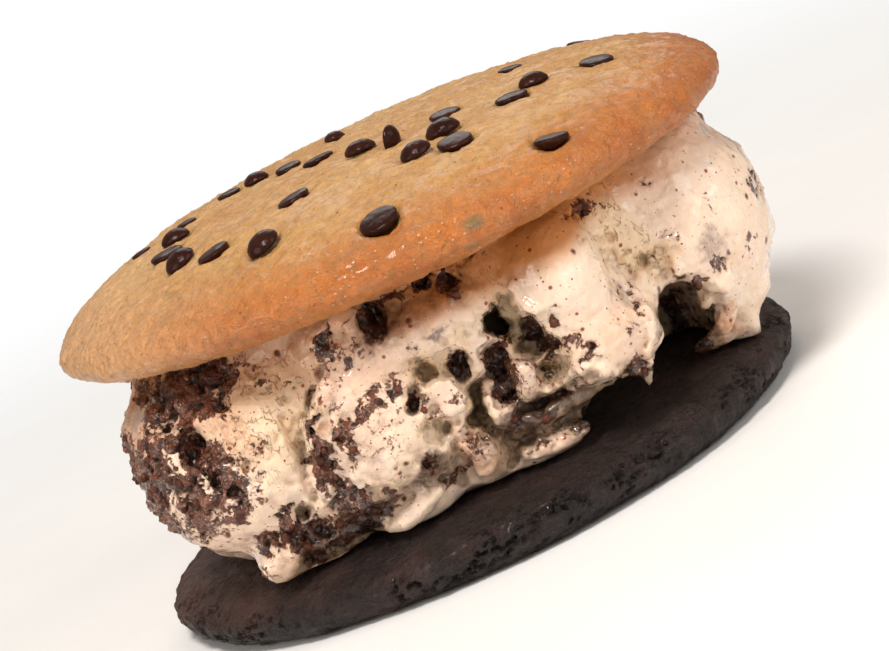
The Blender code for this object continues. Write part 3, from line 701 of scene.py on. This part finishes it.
# Small pits, as smears whose strength is their depth.
PITS = [
    (-30.8, 32.4, 0.8, 0.9, 1.5), (-30.8, 28, 0.6, 2.2, 1.3), (-29.8, 23.4, 0.7, 1.5, 1.8),
    (-34, 20.6, 0.6, 0.6, 1.4), (-26, 30.6, 0.45, 0.5, 1.4), (-22, 14.4, 1.1, 0.8, 2.6),
    (-4.2, 32.4, 1.4, 1.8, 3.4), (3.2, 33.4, 1.2, 0.6, 3), (6.2, 31.8, 0.9, 0.8, 2.4),
    (-5.8, 12.9, 0.9, 0.55, 2.6), (4.4, 26.4, 1.1, 1.2, 0.7), (-36.4, 27, 0.6, 0.8, 1),
    (-32.4, 30, 0.8, 0.9, 1.6), (-34.6, 23.6, 0.7, 0.7, 1.6), (-28.4, 20.2, 0.7, 0.7, 1.6),
    (-14, 20.8, 0.8, 0.6, 1.6), (24.2, 14.3, 0.6, 0.4, 1.5), (33, 14.4, 0.5, 0.9, 2),
    (-10.2, 32, 0.8, 1.2, 2),
]
# Where the lumps are slimmer: sheet middle, reach, and how far to the right and up they are drawn.
PULLS = [(44.6, 35.4, 4.5, -1.3, 0), (40.6, 10.6, 4, -1.8, 1), (-37.4, 36.4, 4.5, 1.5, 0)]
# Where scooping has left short cracks.
CRACKED = [
    (-21.6, 25, 6.6, 10.4, 1), (27.4, 27.6, 3.4, 5.6, 1, -12), (30.6, 22.4, 2.4, 2, 1),
    (-8.6, 14.6, 5, 2.4, 0.5), (11.4, 26, 1.4, 2.6, 0.8), (33.4, 14.6, 2, 2.4, 0.7),
]
# Where the cream is torn to tatters all over, as smears.
TATTERS = [
    (4.6, 19.6, 10.4, 7.6, 1), (28.4, 22.6, 2.8, 3, 0.8), (-14.6, 19.4, 3.6, 7.6, 0.55),
    (8, 11, 10, 3.4, 0.7), (21, 13.4, 5.4, 2.6, 0.7), (-5, 12.6, 3.6, 2.6, 0.7), (-31, 27, 6, 10, 0.55),
    (-22, 12.4, 6, 3.4, 0.8), (-8, 30.6, 6, 3, 0.5), (3, 29, 8, 4, 0.35), (33.4, 16, 2.6, 4, 0.6),
]
FRONT_EDGE = -2.0             # where the finely modelled front meets the plainer back


def front_place(tree, u, v, out=0.0):
    """The place of the slab that is seen behind a sheet point, brought out towards the eye."""
    sight = (Vector((u, SHEET_Y, v)) - EYE).normalized()
    place = tree.ray_cast(EYE * MM, sight)[0]
    place = place / MM if place else from_sheet(u, v, -34.0)
    return place - sight * out


def add_ball(shape, middle, radius):
    place = Matrix.LocRotScale(Vector(middle) * MM, None, Vector((radius, radius, radius)) * MM)
    bmesh.ops.create_icosphere(shape, subdivisions=2, radius=1.0, matrix=place)


def add_rope(shape, tree, out, *knots):
    """A rope of soft cream laid on the front through its knots, each a sheet place and a radius."""
    for (u, v, size), (next_u, next_v, next_size) in zip(knots, knots[1:]):
        steps = max(2, int(hypot(next_u - u, next_v - v) / (0.5 * min(size, next_size))))
        for step in range(steps + 1):
            share = step / steps
            radius = size + (next_size - size) * share
            here = u + (next_u - u) * share, v + (next_v - v) * share
            add_ball(shape, front_place(tree, *here, out - 0.3 * radius), radius)


def add_plug(shape, tree, outline, near, far, ragged=0.22, narrowing=0.9):
    """A ragged prism along the line of sight over an outline, from near to far of the surface."""
    middle_u = sum(u for u, v in outline) / len(outline)
    middle_v = sum(v for u, v in outline) / len(outline)
    depth = front_place(tree, middle_u, middle_v).y
    cuts = 4
    lid = bmesh.ops.create_circle(shape, cap_ends=True, radius=1.0, segments=cuts * len(outline))["verts"]
    for index, vertex in enumerate(lid):
        corner, cut = divmod(index, cuts)
        here = Vector(outline[corner]).lerp(Vector(outline[(corner + 1) % len(outline)]), cut / cuts)
        shake = noise.noise_vector(Vector((here.x, 0.0, here.y)) * 1.7) * ragged
        vertex.co = Vector((here.x + shake.x, 0.0, here.y + shake.z))
    deep = bmesh.ops.extrude_face_region(shape, geom=list(lid[0].link_faces))["geom"]
    for vertex in deep:
        if isinstance(vertex, bmesh.types.BMVert):
            u = middle_u + (vertex.co.x - middle_u) * narrowing
            v = middle_v + (vertex.co.z - middle_v) * narrowing
            vertex.co = from_sheet(u, v, depth - far) * MM
    for vertex in lid:
        vertex.co = from_sheet(vertex.co.x, vertex.co.z, depth - near) * MM


def distance(marks, start, end):
    """How far each mark on the sheet lies from a straight stretch between two places."""
    run = np.array(end) - start
    share = np.clip(((marks - start) @ run) / (run @ run), 0.0, 1.0)
    return np.hypot(*(marks - start - share[:, None] * run).T)


def inside(marks, outline):
    """How far each mark lies inside an outline on the sheet, less than 0 outside it."""
    nearest = np.full(len(marks), 99.0)
    within = np.zeros(len(marks), bool)
    for start, end in zip(outline, outline[1:] + outline[:1]):
        nearest = np.minimum(nearest, distance(marks, start, end))
        crossed = (start[1] > marks[:, 1]) != (end[1] > marks[:, 1])
        climb = end[1] - start[1] or 1.0
        reach = start[0] + (end[0] - start[0]) * (marks[:, 1] - start[1]) / climb
        within ^= crossed & (marks[:, 0] < reach)
    return np.where(within, nearest, -nearest)


def trail(marks, half_width, knots):
    """How near each mark lies to a bent line on the sheet: 1 on it and 0 beyond its half width."""
    nearest = np.min([distance(marks, *pair) for pair in zip(knots, knots[1:])], axis=0)
    return 1.0 - rise(nearest / half_width, 0.2, 1.0)


def on_sheet(places):
    """Where each of many places falls on the front sheet."""
    reach = (SHEET_Y - EYE.y) / (places[:, 1] - EYE.y)
    return np.stack([places[:, 0] * reach, EYE.z + (places[:, 2] - EYE.z) * reach], 1)


def kept(marks):
    """Where flakes and strands stand whole between the tears, 0 to 1, at marks on the sheet."""
    whole = np.zeros(len(marks))
    for out, thick, outline in FLAKES:
        whole = np.maximum(whole, rise(inside(marks, outline), -0.15, 0.15))
    for half_width, knots in STRANDS:
        whole = np.maximum(whole, trail(marks, half_width, knots))
    return whole


def torn_depth(marks):
    """How deep the front is torn in at marks on the sheet, in millimetres."""
    flat = np.insert(marks, 1, 0.0, axis=1)
    shake = wobble(flat, 1.1, 0.7, 22.0)
    ragged = marks + shake * 0.6
    depth = smear(ragged, PITS)
    for far, outline in OPENINGS:
        depth = np.maximum(depth, far * rise(inside(ragged, outline), -0.4, 0.05))
    for far, half_width, knots in GROOVES:
        depth = np.maximum(depth, far * trail(ragged, half_width, knots))
    tatters = rise(lump_noise(flat, 1.9, 4, 0.55, seed=27.0), 0.06, 0.34)
    depth += 1.7 * tatters * smear(marks, TATTERS) + cracks(marks)
    return depth * (1.0 - kept(marks + shake * 0.3))


def cracks(marks):
    """Short upright cracks of the torn cream, 0 to 1, at marks on the sheet."""
    upright = np.insert(marks * (1.7, 0.8), 1, 0.0, axis=1)
    open_here = rise(lump_noise(upright, 1.5, 4, 0.6, seed=28.0), 0.14, 0.32)
    return open_here * smear(marks, CRACKED)


def facing(places, normals):
    """1 where the front is seen from the eye, 0 on the sides, the back and what lies hidden."""
    return rise(-normals[:, 1] * 0.7 + (-places[:, 1] - 6.0) / 26.0, 0.0, 0.35)


def tear(piece, front_y=-9.0, turned_away=0.25):
    """Push the front's openings, grooves and tatters in along the line of sight."""
    places, normals = read_points(piece.data)
    height = places[:, 2]
    between = (height > SLAB_FOOT) & (height < SLAB_HEAD)
    front = np.flatnonzero((places[:, 1] < front_y) & (normals[:, 1] < turned_away) & between)
    near = places[front]
    sight = near - np.array(EYE)
    sight /= np.linalg.norm(sight, axis=1)[:, None]
    places[front] += sight * torn_depth(on_sheet(near))[:, None]
    write_points(piece.data, places)


def front_cream():
    """The finely modelled front of the slab, with its ropes and flakes, and its openings cut."""
    whole = merged("ice_cream")
    tree = BVHTree.FromBMesh(whole)
    piece = new_piece("ice_cream_front", whole)
    carve(piece, FRONT_EDGE, 80.0)
    extra = bmesh.new()
    extra.from_mesh(piece.data)
    for rope in ROPES:
        add_rope(extra, tree, *rope)
    for depth, *knots in HANGING:
        for start, end in zip(knots, knots[1:]):
            for share in (0.0, 0.25, 0.5, 0.75, 1.0):
                u, v, radius = Vector(start).lerp(Vector(end), share)
                add_ball(extra, from_sheet(u, v, depth), radius)
    for out, thick, outline in FLAKES:
        add_plug(extra, tree, outline, out, out - thick)
    bmesh.ops.recalc_face_normals(extra, faces=extra.faces)
    extra.to_mesh(piece.data)
    extra.free()
    reskin(piece, FINE)
    tear(piece)
    return reskin(piece, FINE, 1)


def back_cream():
    piece = new_piece("ice_cream_back", merged("ice_cream"))
    carve(piece, -80.0, FRONT_EDGE - 2.0)
    return reskin(piece, PLAIN, 2)


def thin_hidden(piece, against_reach=35.0, cut_reach=34.0, half_thickness=13.5, near_cut=3.0, share=0.96):
    """Leave only a few large faces where the cream lies hidden against the cookies and inside."""
    places, normals = read_points(piece.data)
    offset = np.abs(places - np.array(CREAM_MIDDLE))
    reach = np.hypot(offset[:, 0], offset[:, 1])
    against = (np.abs(normals[:, 2]) > 0.8) & (reach < against_reach) & (offset[:, 2] > half_thickness)
    at_cut = np.abs(places[:, 1] - FRONT_EDGE) < near_cut
    inside_cut = (np.abs(normals[:, 1]) > 0.98) & at_cut & (reach < cut_reach)
    hidden = np.flatnonzero(against | inside_cut)
    group = piece.vertex_groups.new(name="hidden")
    group.add(hidden.tolist(), 1.0, "REPLACE")
    thin = piece.modifiers.new("thin", "DECIMATE")
    thin.vertex_group = group.name
    thin.vertex_group_factor = 1.0
    thin.ratio = 1.0 - share * len(hidden) / len(places)
    settle(piece)


def cream_paint():
    paint = Paint("cookies_and_cream", Subsurface_Weight=0.3, Subsurface_Scale=0.001,
                  Specular_IOR_Level=0.34, Coat_Roughness=0.08)
    paint.shader.inputs["Subsurface Radius"].default_value = (1.0, 0.5, 0.22)
    crumb = paint.mark("crumb")
    sunk = paint.mark("sunk")
    torn = paint.mark("torn")
    stain = paint.mark("stain")
    wet = paint.mark("wet")
    painted_hollow_shade = paint.mark("painted_hollow_shade")
    painted_warm_shade = paint.mark("painted_warm_shade")
    cloud = paint.noise(6.0)
    swirl = paint.noise(1.6, 5.0, 0.64, twist=1.2)
    fine = paint.noise(0.45, 4.0, 0.68)
    cream = paint.mix(cloud.step(0.3, 0.7), (0.94, 0.74, 0.592), (0.915, 0.69, 0.522))
    grey = (sunk * (0.5 + (swirl - 0.4) * 2.4)).held() * 0.9
    cream = paint.layered(
        cream,
        (torn * 0.9 + torn * (swirl - 0.5) * 0.5, (0.855, 0.645, 0.425)),
        (stain * (0.55 + (swirl - 0.42) * 2.2), (0.62, 0.3, 0.155)),
        (grey, (0.19, 0.105, 0.09)))
    # specks, thicker where cocoa has bled
    dirt = (stain * 0.5 + crumb * 0.7 + sunk * 0.3 + (cloud - 0.5) * 0.5).held()
    for size, share, colour in ((1.5, 0.8, (0.3, 0.055, 0.016)), (0.8, 0.84, (0.27, 0.055, 0.018)),
                                (0.45, 0.88, (0.24, 0.06, 0.022)), (2.6, 0.88, (0.15, 0.035, 0.016))):
        shade, near = paint.cells(size)
        dots = near.step(0.24, 0.1) * (shade + dirt * 0.45).step(share, share + 0.02)
        cream = paint.mix(dots * (0.5 + fine), cream, colour)
    # crumb, broken into specks along its edges and with a stained halo
    edge = crumb + (swirl - 0.5) * 1.25 + (fine - 0.5)
    inside_crumb = crumb.step(0.02, 0.12)
    cream = paint.mix(edge.step(0.3, 0.5) * inside_crumb * 0.55, cream, (0.6, 0.285, 0.18))
    packed = (edge.step(0.45, 0.58) * inside_crumb).held()
    clump = paint.noise(1.3)
    film = paint.noise(2.2, 4.0, 0.6, twist=1.0)
    thread = paint.noise(1.9, twist=1.6)
    # the crumb's own tones, with painted shade where the clump noise dips between the clumps that the relief
    # raises
    brown = paint.layered(
        paint.mix(clump.step(0.36, 0.62), (0.036, 0.0098, 0.005), (0.172, 0.048, 0.0225)),
        (fine.step(0.52, 0.74) * 0.3, (0.3, 0.112, 0.062)),
        (film.step(0.5, 0.64) * 0.2, (0.55, 0.29, 0.2)),
        (thread.step(0.46, 0.5) * thread.step(0.54, 0.5) * (fine * 1.6 - 0.45), (0.8, 0.54, 0.42)))
    crack = paint.noise(1.4, 2.0, 0.5, paint.stretched(1.3, 1.0, 0.6), 0.8)
    broken = paint.noise(1.6, 2.0, 0.5).step(0.5, 0.58)
    pores = (crack.step(0.462, 0.495) * crack.step(0.528, 0.495) * broken * torn).held()
    # painted shade darkens the hollows, browner and darker over crumb, and painted warm shade lies under the
    # golden cookie
    crumb_under_shade = packed.most(grey)
    cream = paint.layered(
        cream,
        (packed, brown),
        # painted shade in the cracks of the torn cream
        (pores * 0.42, (0.62, 0.36, 0.16)),
        (painted_hollow_shade.step(0.0, 0.5) * 0.78, paint.mix(crumb_under_shade, (0.215, 0.145, 0.068), (0.05, 0.019, 0.0125))),
        (painted_hollow_shade.step(0.45, 0.95) * 0.88, paint.mix(crumb_under_shade, (0.03, 0.019, 0.01), (0.012, 0.004, 0.002))))
    # painted warm shade, multiplied into the colour under the golden cookie
    cream = paint.mix(painted_warm_shade, cream, (0.6, 0.32, 0.13), "MULTIPLY")
    paint.set("Base Color", cream)
    paint.set("Roughness", (0.46 - wet * 0.24 - packed * 0.13 + (fine - 0.5) * 0.3).held())
    paint.set("Coat Weight", (wet + packed * crumb * 0.26 + sunk * 0.25 - torn * 0.4).held())
    paint.relief((swirl, 0.5, 0.45), (fine * (1.0 - wet * 0.6), 0.45, 0.2), (1.0 - pores, 1.0, 0.5),
                 (clump * packed, 1.0, 1.0), (fine * packed, 0.6, 0.2))
    return paint


def pulled(places):
    """The places with the lumps drawn in where their outline is slimmer."""
    marks = on_sheet(places)
    for u, v, reach, right, up in PULLS:
        share = 1.0 - rise(np.hypot(marks[:, 0] - u, marks[:, 1] - v), 0.0, reach)
        places = places + share[:, None] * np.array((right, 0.0, up))
    return places


def dress_cream(piece, paint):
    """Give the cream its marks, its fine relief and its material."""
    places, normals = read_points(piece.data)
    places = pulled(places)
    sheet = on_sheet(places)
    u, v = sheet.T
    front = facing(places, normals)
    back = 1.0 - front
    marks = sheet + 1.1 * wobble(places, 2.4, 0.6, 8.0)
    crumb = smear(marks, CRUMB_SMEARS, 0.55)
    for half_width, strength, knots in CRUMB_TRAILS:
        crumb = np.maximum(crumb, strength * trail(marks, half_width, knots))
    whole = kept(sheet) * rise(v, 11.0, 12.0)
    crumb *= (1.0 - smear(marks, BARE_SMEARS)) * (1.0 - 0.5 * whole)
    # the sides and back carry smears of their own, scattered by noise, with more crumb on the left
    packed = lump_noise(places, 8.0, seed=10.0) + 0.28 * rise(-places[:, 0], 12.0, 34.0)
    crumb = np.maximum(crumb * front, back * rise(packed, 0.1, 0.52) * 0.92)

    def laid(smears, soft, size, octaves, seed, low, high, strength):
        patches = rise(lump_noise(places, size, octaves, seed=seed), low, high)
        return np.maximum(smear(marks, smears, soft) * front, back * patches * strength)

    sunk = laid(SUNK_SMEARS, soft=0.6, size=5.0, octaves=4, seed=11.0, low=0.12, high=0.5, strength=0.7)
    torn = laid(TORN_SMEARS, soft=0.5, size=10.0, octaves=3, seed=12.0, low=0.12, high=0.36, strength=0.8)
    stain = laid(STAIN_SMEARS, soft=0.7, size=4.0, octaves=3, seed=18.0, low=0.15, high=0.5, strength=0.6)
    wet = np.clip(rise(lump_noise(places, 6.0, seed=13.0), -0.15, 0.2) - crumb * 0.2 - torn * 0.7, 0, 1)
    wet = np.maximum(wet, smear(marks, WET_SMEARS, 0.5) * front)
    # painted warm shade under the golden cookie's eaves, as light bounced off its underside would give:
    # weaker towards the left and the far right, strong just under the rim on the far left
    painted_warm_shade = rise(v - 26.6 - 3.8 * rise(u, 20.0, 27.0), 0.0, 4.0) * (0.45 + 0.55 * rise(u, -12.0, 6.0))
    painted_warm_shade *= 1.0 - 0.85 * rise(u, 29.0, 39.0)
    painted_warm_shade = front * np.maximum(painted_warm_shade, 0.9 * rise(v, 32.4, 36.0) * (1.0 - rise(u, -24.0, -18.0)))
    # relief: soft waves where the cream has melted, pebbles where it is full of crumbs
    ragged = lump_noise(places, 1.6, 4, 0.6, seed=15.0)
    grains = 0.66 - pebble_noise(places, 2.5, seed=16.0) * 1.4
    caves = np.minimum(0.0, lump_noise(places, 2.6, 3, 0.6, seed=19.0) + 0.08)
    heaped = np.clip(crumb * 1.25 - 0.15 - sunk * 0.4, 0, 1)
    waves = 0.22 * lump_noise(places, 4.0, seed=14.0) + 0.07 * lump_noise(places, 1.2, seed=17.0)
    swell = waves * (1.0 - heaped) + heaped * (grains + 0.34 * ragged + 1.8 * caves)
    swell += (torn + 0.6 * stain) * 0.14 * ragged
    # painted shade: darker the deeper the front is torn in, on the low and overhung parts, and in the pits
    # between heaped crumbs
    painted_hollow_shade = np.clip((torn_depth(sheet) - 0.7) / 6.3, 0.0, 1.0)
    painted_hollow_shade = front * np.maximum(painted_hollow_shade, smear(marks, PAINTED_SHADE_SMEARS, 0.6))
    painted_hollow_shade = np.maximum(painted_hollow_shade, heaped * rise(-swell, 0.15, 0.9) * 0.85)
    # the relief fades against both cookies
    free = rise(places[:, 2], SLAB_FOOT, 9.0) * (1.0 - rise(places[:, 2], 35.5, 37.0))
    places += normals * (swell * (0.2 + 0.8 * free))[:, None]
    painted = {"crumb": crumb, "sunk": sunk, "torn": torn, "stain": stain, "wet": wet, "painted_hollow_shade": painted_hollow_shade,
               "painted_warm_shade": painted_warm_shade}
    dress(piece, places, painted, paint, "ice_cream")
    thin_hidden(piece)
    return piece


def crumb_paint():
    paint = Paint("cookie_crumb", Specular_IOR_Level=0.28)
    shade = paint.noise(2.0, 2.0, 0.5)
    fine = paint.noise(0.35, 4.0, 0.7)
    brown = paint.mix(shade.step(0.35, 0.65), (0.042, 0.012, 0.0066), (0.15, 0.045, 0.022))
    brown = paint.mix(fine.step(0.5, 0.8) * 0.35, brown, (0.28, 0.12, 0.075))
    paint.set("Base Color", brown)
    paint.set("Roughness", (0.38 + (fine - 0.5) * 0.4).held())
    paint.relief((fine, 0.5, 0.15))
    return paint


def crumb_kinds(seed):
    """A few uneven balls, each a mesh."""
    kinds = []
    for kind in range(6):
        ball = bmesh.new()
        bmesh.ops.create_uvsphere(ball, u_segments=7, v_segments=5, radius=1.0)
        for vertex in ball.verts:
            vertex.co *= 1.0 + 0.55 * noise.noise(vertex.co * 1.6 + Vector((kind * 7.0, seed, 0.0)))
        kinds.append(bpy.data.meshes.new("crumb_kind"))
        ball.to_mesh(kinds[-1])
        ball.free()
    return kinds


def crumbs(name, source, seed, count=400, smallest=0.18, largest=0.75, lowest=8.4, highest=36.5):
    """Crumbs of dark cookie half sunk where the cream is packed with them."""
    pick = random.Random(seed)
    kinds = crumb_kinds(seed)
    places, normals = read_points(source.data)
    packed = np.empty(len(places))
    source.data.attributes["crumb"].data.foreach_get("value", packed)
    free = (places[:, 2] > lowest) & (places[:, 2] < highest) & (np.abs(normals[:, 1]) > 0.25)
    weights = np.where(free, np.clip(packed - 0.3, 0, 1), 0.0)
    shape = bmesh.new()
    for point in pick.choices(range(len(places)), weights=weights, k=count):
        size = smallest + (largest - smallest) * pick.random() ** 2
        turn = Euler((pick.uniform(0, 6.3), pick.uniform(0, 6.3), pick.uniform(0, 6.3)))
        stretch = Vector((size, size * pick.uniform(0.7, 1.0), size * pick.uniform(0.6, 1.0))) * MM
        middle = Vector(places[point] + normals[point] * size * pick.uniform(-0.5, 0.25)) * MM
        crumb = pick.choice(kinds).copy()
        crumb.transform(Matrix.LocRotScale(middle, turn, stretch))
        shape.from_mesh(crumb)
        bpy.data.meshes.remove(crumb)
    hand_over(new_piece(name, shape, crumb_paint()), "ice_cream")


def ice_cream():
    paint = cream_paint()
    front = dress_cream(front_cream(), paint)
    back = dress_cream(back_cream(), paint)
    crumbs("cookie_crumbs_front", front, seed=3)
    crumbs("cookie_crumbs_back", back, seed=4)


# ---------------- stage, light, camera

LOOK_AT = Vector((0.0, 0.0, 0.02))


def floor(radius=1.4, gap=0.00002, clear_from=70.0, clear_at=420.0):
    """A pale disc just under the sandwich, which fades out between two reaches in millimetres."""
    shape = bmesh.new()
    bmesh.ops.create_circle(shape, cap_ends=True, segments=96, radius=radius)
    for vertex in shape.verts:
        vertex.co.z = -gap
    paint = Paint("pale_floor", Roughness=0.75, Specular_IOR_Level=0.2)
    cloud = paint.noise(40.0, rough=0.55)
    paint.set("Base Color", paint.mix(cloud.step(0.3, 0.7), (0.9, 0.895, 0.89), (0.925, 0.92, 0.915)))
    clear = paint.node("ShaderNodeBsdfTransparent")
    length = paint.node("ShaderNodeVectorMath", {"operation": "LENGTH"}, {0: paint.place})
    fade = Value(paint, length.outputs["Value"]).step(clear_from, clear_at)
    mixed = paint.node("ShaderNodeMixShader", {}, {0: fade, 1: paint.shader.outputs[0], 2: clear.outputs[0]})
    output = paint.tree.nodes["Material Output"]
    paint.tree.links.new(mixed.outputs[0], output.inputs["Surface"])
    piece = new_piece("floor", shape, paint)


def world():
    sky = bpy.data.worlds.new("studio")
    bpy.context.scene.world = sky
    sky.use_nodes = True
    paint = Nodes(sky.node_tree)
    seen = paint.node("ShaderNodeLightPath").outputs["Is Camera Ray"]
    shade = paint.node("ShaderNodeMix", {"data_type": "RGBA"}, {
        "Factor": seen, "A": (0.3, 0.275, 0.245, 1.0), "B": (1.0, 1.0, 1.0, 1.0)})
    sky.node_tree.links.new(shade.outputs["Result"], sky.node_tree.nodes["Background"].inputs["Color"])


def area_light(name, place, size, power, colour):
    light = bpy.data.lights.new(name, "AREA")
    light.shape = "DISK"
    light.size = size
    light.energy = power
    light.color = colour
    thing = bpy.data.objects.new(name, light)
    bpy.context.scene.collection.objects.link(thing)
    thing.location = place
    thing.rotation_euler = (LOOK_AT - Vector(place)).to_track_quat("-Z", "Y").to_euler()


def lights():
    area_light("key", (-0.069, -0.391, 0.636), 0.22, 3.95, (1.0, 0.955, 0.905))
    area_light("fill", (0.573, -0.331, 0.352), 0.5, 1.6, (1.0, 0.97, 0.93))
    area_light("left_fill", (-0.55, -0.35, 0.3), 0.4, 1.2, (1.0, 0.96, 0.91))
    area_light("front_fill", (0.25, -0.62, 0.12), 0.4, 0.45, (1.0, 0.96, 0.91))
    area_light("back", (0.1, 0.6, 0.5), 0.5, 1.0, (1.0, 0.98, 0.96))


def camera():
    rise_angle = radians(10.5)
    roll = radians(26.0)
    distance = 0.37
    back = Vector((0.0, -cos(rise_angle), sin(rise_angle)))
    right = Vector((1.0, 0.0, 0.0))
    up = Vector((0.0, sin(rise_angle), cos(rise_angle)))
    across = right * cos(roll) - up * sin(roll)
    upright = right * sin(roll) + up * cos(roll)
    shift_right = 0.00218
    shift_up = 0.00311
    aim = LOOK_AT + across * shift_right + upright * shift_up
    lens = bpy.data.cameras.new("camera")
    lens.sensor_width = 36.0
    lens.lens = 113.2
    lens.clip_start = 0.01
    eye = bpy.data.objects.new("camera", lens)
    bpy.context.scene.collection.objects.link(eye)
    turn = Matrix((across, upright, back)).transposed().to_4x4()
    eye.matrix_world = Matrix.Translation(aim + back * distance) @ turn
    bpy.context.scene.camera = eye
    bpy.context.scene.view_settings.view_transform = "Standard"


dark_cookie()
ice_cream()
golden_cookie()
chips()
floor()
world()
lights()
camera()
